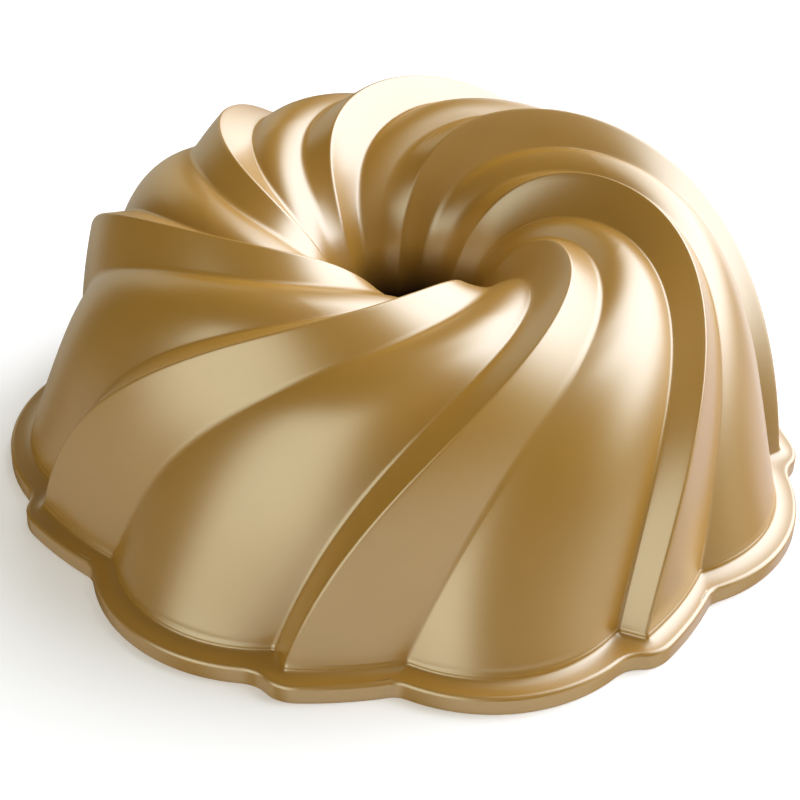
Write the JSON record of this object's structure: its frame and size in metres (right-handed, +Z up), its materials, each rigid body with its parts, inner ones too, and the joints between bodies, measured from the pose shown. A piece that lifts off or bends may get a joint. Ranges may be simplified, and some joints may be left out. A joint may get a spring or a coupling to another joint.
{
  "type": "bundt pan",
  "caption": "Swirled fluted ring cake pan in cast aluminium with a satin gold finish, a scalloped rim flange and an open centre tube, shown mouth down.",
  "frame": {"origin": "on the pan's axis, in the plane the rim flange rests on when the pan stands mouth down", "axes": "+Z up along the centre tube, out through the crown; -Y towards the viewer in the picture's view; +X to the viewer's right"},
  "size_m": [0.2539, 0.2507, 0.0964],
  "materials": {
    "gold_finish": "satin gold baked finish on cast metal",
    "release_lining": "smooth low-sheen bronze release coating"
  },
  "bodies": {
    "root": {"cast_shell": "gold_finish", "nonstick_lining": "release_lining"}
  },
  "joints": []
}
